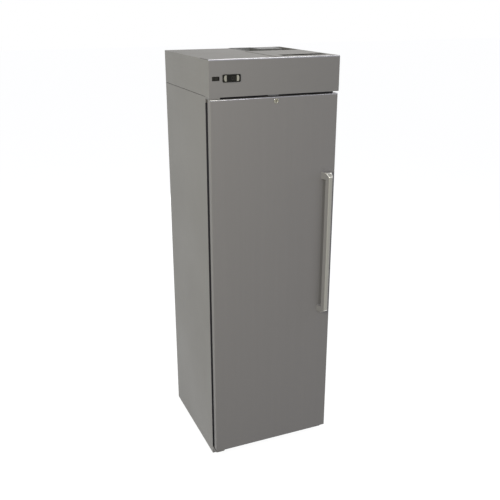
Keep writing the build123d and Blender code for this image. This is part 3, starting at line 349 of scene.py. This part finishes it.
MATERIALS = {
    "stainless": brushed("steel_upright", STEEL, "Z"),
    "stainless_flat": brushed("steel_lengthways", STEEL, "XY"),
    # Painted shade: a darker, bluer copy of the steel for the fascia's front faces
    "stainless_front": brushed("steel_front", (0.178, 0.173, 0.175), "XY"),
    "stainless_door": brushed("steel_door", (0.207, 0.201, 0.208), "Z", metallic=0.08, edge=0.45),
    # Painted highlight: a brighter, bluer copy of the steel for the bends that face up and forward
    "stainless_bend": brushed("steel_bend", (0.28, 0.28, 0.31), "XZ", metallic=0.8, roughness=0.34),
    # Painted shade: a darker copy of the steel, with a weaker reflection, for the top sheets
    "stainless_top": brushed("steel_top", shade(STEEL, 0.76), "X", roughness=0.50, edge=0.50),
    # Painted shade: near-black steel for the side panels' front returns in the gap beside the door, and
    # for the strip along the top of the fascia's returns
    "seal_seat": brushed("steel_shaded", (0.040, 0.040, 0.050), "Z", roughness=0.50, edge=0.30),
    "handle_steel": brushed("handle_satin", (0.255, 0.249, 0.262), "Z", roughness=0.36),
    # Painted light: a lighter, warmer copy of the handle's steel for the faces of the bar and brackets
    # that face forward
    "handle_nose": brushed("handle_worn", (0.33, 0.325, 0.303), "Z", metallic=0.4, roughness=0.34),
    # Painted highlight: near-white steel for the brackets' rims along their slopes
    "handle_rim": brushed("handle_polished", (0.70, 0.69, 0.66), "Z", metallic=0.9, roughness=0.30),
    "liner_steel": brushed("liner_bright", (0.44, 0.44, 0.435), "Z", metallic=0.7, roughness=0.36),
    "galvanised": spangled("zinc_sheet", (0.20, 0.205, 0.21), 0.46),
    "hinge_steel": plain_metal("hinge_satin", (0.175, 0.170, 0.165), 0.40, metallic=0.6),
    "clip_steel": plain_metal("clip_plated", (0.48, 0.48, 0.47), 0.30),
    "screw_steel": plain_metal("screw_bright", (0.50, 0.49, 0.48), 0.26),
    "fin_aluminium": plain_metal("fin_dull", (0.15, 0.15, 0.16), 0.40, metallic=0.7),
    "motor_metal": plain_metal("motor_plated", (0.32, 0.32, 0.33), 0.38),
    "copper": plain_metal("copper_drawn", (0.60, 0.30, 0.19), 0.30, scale=300.0, contrast=0.12),
    "lock_chrome": plain_metal("lock_satin", (0.27, 0.26, 0.21), 0.30),
    # Painted highlight: a bright copy of the lock's metal for the upper front of its ring
    "lock_rim": plain_metal("lock_polished", (0.62, 0.62, 0.64), 0.25),
    "dark_plastic": moulded("plastic_charcoal", (0.018, 0.018, 0.024), 0.50, gloss=0.15),
    "black_plastic": moulded("plastic_black", (0.012, 0.012, 0.010), 0.40, gloss=0.12),
    "display_window": moulded("window_smoked", (0.009, 0.009, 0.008), 0.14, **SMOKED),
    "digit_unlit": moulded("digit_dim", (0.050, 0.050, 0.044), 0.45, **SMOKED),
    # Painted shade: the deck is near-black, for the shade in the gap over the door
    "deck_coating": moulded("deck_dark", (0.016, 0.016, 0.022), 0.60, texture=500.0, gloss=0.2),
    "pad_plastic": moulded("pad_grey", (0.30, 0.295, 0.265), 0.45),
    # The box's own dark grey, darkened further as painted shade for the well under the cover
    "box_plastic": moulded("box_grey", even(0.12), 0.50),
    "shelf_wire": moulded("wire_coated", (0.52, 0.52, 0.51), 0.30, texture=700.0, depth=0.00002, coat=0.3),
    "black_enamel": moulded("enamel_black", even(0.012), 0.40, texture=250.0, depth=0.00006, gloss=0.02),
    "hose_rubber": moulded("rubber_hose", even(0.10), 0.60),
    "gasket_rubber": moulded("rubber_seal", (0.012, 0.012, 0.018), 0.55, gloss=0.15),
    "foam": foamed("foam_cream", (0.62, 0.52, 0.34)),
    # The foam box's own grey, darkened further as painted shade for the well under the cover
    "foam_box": foamed("foam_grey", even(0.13), scale=420.0),
}

# Finishes that are the scene's own, under the slot that they belong to
VARIANTS = {
    "stainless": (
        "stainless_flat",
        "stainless_front",
        "stainless_door",
        "stainless_bend",
        "stainless_top",
        "seal_seat",
    ),
    "handle_steel": ("handle_nose", "handle_rim"),
    "galvanised": ("deck_coating",),
    "display_window": ("digit_unlit",),
    "lock_chrome": ("lock_rim",),
}
SLOTS = {finish: finish for finish in MATERIALS}
for slot, finishes in VARIANTS.items():
    SLOTS.update(dict.fromkeys(finishes, slot))

# The finish of each node, with the nodes that take one of the scene's own
SURFACES = {part["node"]: part["material_slot"] for part in frame["record"]["subparts"]}
SURFACES.update({
    "fascia": "stainless_flat",
    "housing_side_left": "stainless_flat",
    "housing_side_right": "stainless_flat",
    # The top sheets take the darker copy of the steel, as painted shade
    "top_plate_left": "stainless_top",
    "top_cover_right": "stainless_top",
    # The deck takes the near-black painted shade
    "top_deck": "deck_coating",
    "door_skin": "stainless_door",
})

BODIES = frame["record"]["behaviour"]["bodies"]
BODY_OF = {node: body for body, nodes in BODIES.items() for node in nodes}


def dress(node, material):
    """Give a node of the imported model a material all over."""
    piece = frame["nodes"][node]
    if not piece.material_slots:
        piece.data.materials.append(material)
    for place in piece.material_slots:
        place.material = material


for node, surface in SURFACES.items():
    dress(node, MATERIALS[surface])


# Mesh helpers

WELD = 0.00001
NEAR = 0.0001
SMOOTH_ANGLE = math.radians(35.0)
FLAT_ANGLE = math.radians(0.5)
EDGE_ANGLE = math.radians(30.0)
ROUND_PROFILE = 0.5
LARGEST_WEIGHT = 100


def placed(name, data):
    """A new object in the scene."""
    item = bpy.data.objects.new(name, data)
    bpy.context.scene.collection.objects.link(item)
    return item


def piece_from(work, name, body, surface, *nodes, others=()):
    """Turn a worked mesh into a piece that rides on a body and stands for some nodes."""
    mesh = bpy.data.meshes.new(name)
    work.to_mesh(mesh)
    work.free()
    mesh.shade_smooth()
    mesh.set_sharp_from_angle(angle=SMOOTH_ANGLE)
    for finish in (surface, *others):
        mesh.materials.append(MATERIALS[finish])
    piece = placed(name, mesh)
    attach(piece, body)
    if nodes:
        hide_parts(*nodes)
    flat = piece.modifiers.new("flat_faces", "WEIGHTED_NORMAL")
    flat.keep_sharp = True
    flat.weight = LARGEST_WEIGHT
    return piece


def plain_copy(node):
    """A worked copy of a node's mesh, with its corners joined and its flat faces whole."""
    work = bmesh.new()
    work.from_mesh(frame["nodes"][node].data)
    bmesh.ops.remove_doubles(work, verts=work.verts, dist=WELD)
    bmesh.ops.dissolve_limit(
        work, angle_limit=FLAT_ANGLE, verts=work.verts, edges=work.edges, delimit={"NORMAL"}
    )
    return work


def rounded(work, edges, radius, segments):
    """Round some edges, and give back the faces of the roundings."""
    result = bmesh.ops.bevel(
        work,
        geom=edges,
        offset=radius,
        offset_type="OFFSET",
        segments=segments,
        profile=ROUND_PROFILE,
        affect="EDGES",
        clamp_overlap=True,
    )
    return result["faces"]


def cut_along(work, place, normal, clear_outer=False):
    """Cut a mesh along a plane, and give back the edges of the cut."""
    result = bmesh.ops.bisect_plane(
        work,
        geom=work.verts[:] + work.edges[:] + work.faces[:],
        plane_co=place,
        plane_no=normal,
        clear_outer=clear_outer,
    )
    return [item for item in result["geom_cut"] if isinstance(item, bmesh.types.BMEdge)]


def draw_out(work, outline, step):
    """Add a solid that is drawn out from a flat outline along a step."""
    face = work.faces.new([work.verts.new(point) for point in outline])
    grown = bmesh.ops.extrude_face_region(work, geom=[face])["geom"]
    moved = [item for item in grown if isinstance(item, bmesh.types.BMVert)]
    bmesh.ops.translate(work, verts=moved, vec=step)


def merged(parts):
    """One worked mesh from several."""
    whole = bmesh.new()
    for part in parts:
        mesh = bpy.data.meshes.new("part")
        part.to_mesh(mesh)
        part.free()
        whole.from_mesh(mesh)
        bpy.data.meshes.remove(mesh)
    return whole


# Which way a face turns

BEND_TURN = 0.05
NOSE_TURN = 0.35
FRONT_TURN = 0.7
SIDE_TURN = 0.9
END_TURN = 0.3


def on_bend(face):
    return face.normal.z > BEND_TURN and face.normal.y < -BEND_TURN


def on_nose(face):
    return face.normal.y < -NOSE_TURN


def on_front(face):
    return face.normal.y < -FRONT_TURN


# Pieces that stand for plainer solids

# How far the edges of the sheets, plates and mouldings are rounded, and in how many steps
SHEET_EDGE = (0.0004, 2)
BUTTON_EDGE = (0.0005, 2)
PLATE_EDGE = (0.0008, 3)
LOCK_EDGE = (0.0018, 4)
CASE_EDGE = (0.0020, 3)
ROUNDINGS = {
    SHEET_EDGE: (
        "housing_side_left",
        "housing_side_right",
        "top_plate_left",
        "top_cover_right",
        "housing_back",
        "strike_plate",
    ),
    BUTTON_EDGE: ("switch_rocker", "controller_case", "button_left", "button_right"),
    PLATE_EDGE: ("hinge_bracket_top", "hinge_bracket_bottom", "switch_housing", "lock_barrel"),
    CASE_EDGE: ("electrical_box", "glide_feet"),
}


def piece_for(node, ending, work, finishes):
    """The piece for a node. A face takes the first of the finishes whose test it passes."""
    work.normal_update()
    for face in work.faces:
        passed = (place for place, test in enumerate(finishes.values(), 1) if test(face))
        face.material_index = next(passed, 0)
    return piece_from(work, node + ending, BODY_OF[node], SURFACES[node], node, others=tuple(finishes))


def softened(node, rounding, **finishes):
    """A sheet or moulded node whose sharp edges are rounded, as pressed or cut edges are."""
    work = plain_copy(node)
    sharp = [
        edge
        for edge in work.edges
        if len(edge.link_faces) == 2 and edge.calc_face_angle(0.0) > EDGE_ANGLE
    ]
    rounded(work, sharp, *rounding)
    return piece_for(node, "_soft", work, finishes)


SOFT = {node: softened(node, rounding) for rounding, nodes in ROUNDINGS.items() for node in nodes}
# The side panels' front returns take near-black painted shade
for node in ("side_panel_left", "side_panel_right"):
    softened(node, SHEET_EDGE, seal_seat=on_front)
# The upper front of the lock's ring takes the painted highlight
softened("lock_housing", LOCK_EDGE, lock_rim=on_bend)


# Folded sheets and the handle's bar

DOOR_EDGE = 0.0020
DOOR_EDGE_GROWTH = 2.3
DOOR_EDGE_RISE = 0.0026
SHADE_HEIGHT = 0.0018
SHADE_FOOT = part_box("fascia")[1].z - SHADE_HEIGHT


def folded(node, reshape=None, **finishes):
    """A folded or drawn node, with other finishes on some of its faces."""
    work = plain_copy(node)
    if reshape:
        reshape(work)
    return piece_for(node, "_bent", work, finishes)


def round_door_edge(work):
    """Give the upper edge of the door's skin a larger bend, which rises into the gap over it."""
    low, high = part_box("door_skin")
    for vert in work.verts:
        share = min(1.0, max(0.0, 1.0 - (high.z - vert.co.z) / DOOR_EDGE))
        if vert.co.y < low.y + DOOR_EDGE + NEAR:
            vert.co.y = low.y + (vert.co.y - low.y) * (1.0 + (DOOR_EDGE_GROWTH - 1.0) * share)
        vert.co.z += DOOR_EDGE_RISE * share


def part_top_line(work):
    """Cut the fascia's returns along a line just under their top, parting off the strip that takes painted
    shade.
    """
    cut_along(work, (0.0, 0.0, SHADE_FOOT), (0.0, 0.0, 1.0))


# The strip at the top of the fascia's returns takes painted shade, for the shadow along the joint under
# the top
def on_top_line(face):
    return abs(face.normal.x) > SIDE_TURN and face.calc_center_median().z > SHADE_FOOT


# The fascia takes painted shade along the top of its returns and on its front faces, and a painted
# highlight on its upper bend
fascia = folded(
    "fascia",
    part_top_line,
    seal_seat=on_top_line,
    stainless_bend=on_bend,
    stainless_front=on_front,
)
# The upper front bend of the door's skin takes the painted highlight
folded("door_skin", round_door_edge, stainless_bend=on_bend)
# The bar's forward faces take painted light
folded("handle_bar", handle_nose=on_nose)


# Slot in the cover, a little deeper than its cut in the plain sheet

SLOT_REACH = 0.108
SLOT_NEAR = 0.001
SLOT_GROWTH = 0.014


def deepen_slot(cover):
    """Move the slot's rear edge back."""
    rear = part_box("top_cover_right")[0].y + SLOT_REACH
    for vert in cover.data.vertices:
        if abs(vert.co.y - rear) < SLOT_NEAR:
            vert.co.y += SLOT_GROWTH


deepen_slot(SOFT["top_cover_right"])


# Handle brackets

HANDLE_LOW, HANDLE_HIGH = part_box("handle_brackets")
BAR_LOW, BAR_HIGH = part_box("handle_bar")
HANDLE_X = (HANDLE_LOW.x + HANDLE_HIGH.x) / 2
HANDLE_NOSE_WIDTH = 0.0174
HANDLE_NOSE_RADIUS = 0.0045
NOSE_STEPS = 6
BRACKET_SLOPE = 0.0165
BRACKET_RIM = 0.0024
BRACKET_BROW = 0.0068
RIM_STEPS = 4

# The brackets' finishes after their main one, the painted highlight of the rims and the painted light of
# the nose, and the places of these two in the piece's list
BRACKET_FINISHES = ("handle_rim", "handle_nose")
RIM_PLACE = 1
NOSE_PLACE = 2


def handle_outline():
    """The bracket's section from above, wide at the door and rounded at its nose."""
    root_half = (HANDLE_HIGH.x - HANDLE_LOW.x) / 2
    nose_half = HANDLE_NOSE_WIDTH / 2
    slant = math.atan2(root_half - nose_half, HANDLE_HIGH.y - HANDLE_LOW.y)
    turn = math.pi / 2 - slant
    radius = HANDLE_NOSE_RADIUS
    setback = radius * math.tan(turn / 2)
    centre = Vector((nose_half - setback, HANDLE_LOW.y + radius))
    half = [Vector((root_half, HANDLE_HIGH.y))]
    for step in range(NOSE_STEPS + 1):
        angle = -slant - turn * step / NOSE_STEPS
        half.append(centre + radius * Vector((math.cos(angle), math.sin(angle))))
    right = [(HANDLE_X + point.x, point.y) for point in half]
    left = [(HANDLE_X - point.x, point.y) for point in reversed(half)]
    return right + left


def bracket_block(root, end, side):
    """An end bracket with sharp edges, cut off at a slope from behind the bar to its nose."""
    work = bmesh.new()
    draw_out(work, [(x, y, root) for x, y in handle_outline()], (0.0, 0.0, end - root))
    slope = Vector((0.0, -BRACKET_SLOPE, side * (BAR_HIGH.y - HANDLE_LOW.y))).normalized()
    rim = cut_along(work, (HANDLE_X, BAR_HIGH.y, end), slope, clear_outer=True)
    bmesh.ops.holes_fill(work, edges=rim)
    bmesh.ops.recalc_face_normals(work, faces=work.faces)
    work.normal_update()
    return work


def brow_edges(work, end):
    """The edge across the bracket where its flat end runs into its slope."""
    return [
        edge
        for edge in work.edges
        if all(abs(vert.co.z - end) < NEAR and vert.co.y < HANDLE_HIGH.y - NEAR for vert in edge.verts)
        and abs(edge.verts[0].co.y - edge.verts[1].co.y) < NEAR
    ]


def rim_edges(work, side):
    """The sharp edges round the bracket's end, without the one on the door."""
    return [
        edge
        for edge in work.edges
        if any(face.normal.z * side > END_TURN for face in edge.link_faces)
        and not all(vert.co.y > HANDLE_HIGH.y - NEAR for vert in edge.verts)
        and edge.calc_face_angle(0.0) > EDGE_ANGLE
    ]


def handle_bracket(root, end):
    """An end bracket with its rims rounded, a painted highlight on the rims along its slope, and painted
    light on its nose.
    """
    side = math.copysign(1.0, end - root)
    work = bracket_block(root, end, side)
    for face in rounded(work, brow_edges(work, end), BRACKET_BROW, RIM_STEPS):
        face.material_index = RIM_PLACE
    work.normal_update()
    for face in rounded(work, rim_edges(work, side), BRACKET_RIM, RIM_STEPS):
        if face.calc_center_median().y < BAR_HIGH.y + BRACKET_BROW:
            face.material_index = RIM_PLACE
    work.normal_update()
    for face in work.faces:
        if on_nose(face) and face.material_index != RIM_PLACE:
            face.material_index = NOSE_PLACE
    return work


piece_from(
    merged([handle_bracket(BAR_HIGH.z, HANDLE_HIGH.z), handle_bracket(BAR_LOW.z, HANDLE_LOW.z)]),
    "handle_brackets_rounded",
    "door",
    "handle_steel",
    "handle_brackets",
    others=BRACKET_FINISHES,
)


# Joint between the housing and the side panels

JOINT_GAP = 0.0016
JOINT_RUN = 0.0005


def with_joint(piece, start=None):
    """Raise the foot of a piece of the housing, all along or from a start, so that a joint shows."""
    work = bmesh.new()
    work.from_mesh(piece.data)
    foot = min(vert.co.z for vert in work.verts)
    if start is not None:
        for y in (start, start + JOINT_RUN):
            cut_along(work, (0.0, y, 0.0), (0.0, 1.0, 0.0))
    for vert in work.verts:
        behind = start is None or vert.co.y > start + JOINT_RUN / 2
        if behind and vert.co.z < foot + JOINT_GAP / 2:
            vert.co.z += JOINT_GAP
    work.to_mesh(piece.data)
    work.free()


for side in ("left", "right"):
    with_joint(SOFT[f"housing_side_{side}"])
with_joint(fascia, start=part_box("side_panel_left")[0].y)


# Digits of the display, unlit behind the smoked window

DIGIT_WIDTH = 0.0062
DIGIT_HEIGHT = 0.0125
DIGIT_STROKE = 0.0011
DIGIT_PITCH = 0.0086
DIGIT_MARGIN = 0.25
DIGIT_PROUD = 0.00006
BAR_SHORTENING = 1.3

# The bars that each digit shows, from left to right
DIGITS = ("ABCDEF", "ABCDG")

# Where the middle of each bar lies, in digit widths and heights, and whether the bar lies flat
BARS = {
    "A": (0.0, 0.5, True),
    "B": (0.5, 0.25, False),
    "C": (0.5, -0.25, False),
    "D": (0.0, -0.5, True),
    "E": (-0.5, -0.25, False),
    "F": (-0.5, 0.25, False),
    "G": (0.0, 0.0, True),
}


def digit_bar(work, x, y, z, lies_flat):
    """One bar of a digit, pointed at both ends, just proud of the window."""
    half = DIGIT_STROKE / 2
    length = DIGIT_WIDTH if lies_flat else DIGIT_HEIGHT / 2
    reach = length / 2 - half * BAR_SHORTENING
    outline = (
        (-reach - half, 0.0),
        (-reach, half),
        (reach, half),
        (reach + half, 0.0),
        (reach, -half),
        (-reach, -half),
    )
    points = [(a, b) if lies_flat else (b, a) for a, b in outline]
    draw_out(work, [(x + a, y, z + b) for a, b in points], (0.0, -DIGIT_PROUD, 0.0))


def display_digits():
    """The digits side by side, at the right end of the window."""
    work = bmesh.new()
    low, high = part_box("controller_window")
    for index, shown in enumerate(DIGITS):
        centre_x = high.x - DIGIT_PITCH * (len(DIGITS) - index - DIGIT_MARGIN)
        centre_z = (low.z + high.z) / 2
        for name in shown:
            across, up, lies_flat = BARS[name]
            x = centre_x + across * DIGIT_WIDTH
            z = centre_z + up * DIGIT_HEIGHT
            digit_bar(work, x, low.y, z, lies_flat)
    bmesh.ops.recalc_face_normals(work, faces=work.faces)
    return work


piece_from(display_digits(), "display_digits", "cabinet", "digit_unlit")


# Door seal

SEAL_INSET = 0.0143
SEAL_WIDTH = 0.014

# A clip-in foot, a folded bellows and a rounded magnet pocket, in shares of the seal's width and depth
SEAL_SHAPE = (
    (0.18, 0.00),
    (0.14, 0.20),
    (0.30, 0.30),
    (0.10, 0.42),
    (0.28, 0.54),
    (0.06, 0.62),
    (0.00, 0.74),
    (0.00, 0.90),
    (0.05, 1.00),
    (0.95, 1.00),
    (1.00, 0.90),
    (1.00, 0.74),
    (0.94, 0.62),
    (0.72, 0.54),
    (0.90, 0.42),
    (0.70, 0.30),
    (0.86, 0.20),
    (0.82, 0.00),
)


def seal_profile(front, back):
    """The seal's closed section, as inset from the door's edge and place along Y."""
    depth = back - front
    return [(SEAL_INSET + SEAL_WIDTH * across, front + depth * reach) for across, reach in SEAL_SHAPE]


def mitred_ring(profile, half_width, low, high):
    """A closed ring round a rectangle. The profile is a closed list of inset and depth."""
    work = bmesh.new()
    centre_z = (low + high) / 2
    half_height = (high - low) / 2
    rows = []
    for inset, y in profile:
        x = half_width - inset
        z = half_height - inset
        corners = ((-x, -z), (x, -z), (x, z), (-x, z))
        rows.append([work.verts.new((cx, y, centre_z + cz)) for cx, cz in corners])
    for index, row in enumerate(rows):
        other = rows[(index + 1) % len(rows)]
        for corner in range(len(row)):
            after = (corner + 1) % len(row)
            work.faces.new((row[corner], row[after], other[after], other[corner]))
    bmesh.ops.recalc_face_normals(work, faces=work.faces)
    return work


def door_seal():
    """The seal, set in from the outline of the door's skin."""
    skin_low, skin_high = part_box("door_skin")
    seal_low, seal_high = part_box("door_gasket")
    profile = seal_profile(seal_low.y, seal_high.y)
    return mitred_ring(profile, skin_high.x, skin_low.z, skin_high.z)


piece_from(door_seal(), "door_seal_bellows", "door", "gasket_rubber", "door_gasket")


# Ground, sky, lamps and camera

def shown_rays(tree):
    """What the camera sees, and what gloss and glass see. Both are 0 for all other rays."""
    rays = tree.nodes.new("ShaderNodeLightPath").outputs
    mirrored = combine(tree, "MAXIMUM", rays["Is Glossy Ray"], rays["Is Transmission Ray"])
    return rays["Is Camera Ray"], mirrored


def background(tree, colour, strength):
    node = tree.nodes.new("ShaderNodeBackground")
    node.inputs["Color"].default_value = colour
    node.inputs["Strength"].default_value = strength
    return node.outputs["Background"]


def make_world():
    """A white sky for the camera and for gloss, and a dimmer bluish fill for all else."""
    world = bpy.data.worlds.new("studio")
    bpy.context.scene.world = world
    world.use_nodes = True
    tree = world.node_tree
    tree.nodes.clear()
    fill = background(tree, WORLD_FILL, WORLD_STRENGTH)
    sky = background(tree, WHITE, SKY_STRENGTH)
    mix = tree.nodes.new("ShaderNodeMixShader")
    link(tree, combine(tree, "MAXIMUM", *shown_rays(tree)), mix.inputs["Fac"])
    for shader, socket in zip((fill, sky), mix.inputs[1:]):
        link(tree, shader, socket)
    output = tree.nodes.new("ShaderNodeOutputWorld")
    link(tree, mix.outputs["Shader"], output.inputs["Surface"])


def ground_material():
    """White to the camera and to gloss, with a soft shadow, and a duller bounce for all else."""
    material = bpy.data.materials.new("ground_white")
    material.use_nodes = True
    tree = material.node_tree
    tree.nodes.clear()
    camera, mirrored = shown_rays(tree)
    matt = tree.nodes.new("ShaderNodeBsdfDiffuse")
    bounce = blend_colours(tree, mirrored, FLOOR_BOUNCE, BLACK)
    shadow = blend_colours(tree, camera, bounce, FLOOR_SHADOW)
    link(tree, shadow, matt.inputs["Color"])
    glow = tree.nodes.new("ShaderNodeEmission")
    glow.inputs["Color"].default_value = WHITE
    strength = combine(tree, "MAXIMUM", mirrored, combine(tree, "MULTIPLY", camera, FLOOR_GLOW))
    link(tree, strength, glow.inputs["Strength"])
    both = tree.nodes.new("ShaderNodeAddShader")
    for shader, socket in zip((matt.outputs["BSDF"], glow.outputs["Emission"]), both.inputs):
        link(tree, shader, socket)
    output = tree.nodes.new("ShaderNodeOutputMaterial")
    link(tree, both.outputs["Shader"], output.inputs["Surface"])
    return material


def make_floor():
    mesh = bpy.data.meshes.new("floor")
    reach = FLOOR_REACH
    corners = [(-reach, -reach, 0), (reach, -reach, 0), (reach, reach, 0), (-reach, reach, 0)]
    mesh.from_pydata(corners, [], [(0, 1, 2, 3)])
    mesh.materials.append(ground_material())
    floor = placed("floor", mesh)


def make_lamps():
    for name, place, aim, width, height, power, colour in LAMPS:
        lamp = bpy.data.lights.new(name, "AREA")
        lamp.shape = "RECTANGLE"
        lamp.size = width
        lamp.size_y = height
        lamp.energy = power
        lamp.color = colour
        holder = placed(name, lamp)
        holder.location = place
        direction = Vector(aim) - Vector(place)
        holder.rotation_euler = direction.to_track_quat("-Z", "Y").to_euler()


def make_camera():
    lens = bpy.data.cameras.new("camera")
    lens.lens = CAMERA_LENS
    lens.sensor_width = SENSOR
    lens.shift_x, lens.shift_y = CAMERA_SHIFT
    lens.clip_end = CAMERA_REACH
    holder = placed("camera", lens)
    holder.location = CAMERA_PLACE
    tilt = math.radians(LEVEL_TILT - CAMERA_ELEVATION)
    holder.rotation_euler = (tilt, 0.0, math.radians(CAMERA_AZIMUTH))
    bpy.context.scene.camera = holder


make_world()
make_floor()
make_lamps()
make_camera()
bpy.context.scene.view_settings.view_transform = "Standard"
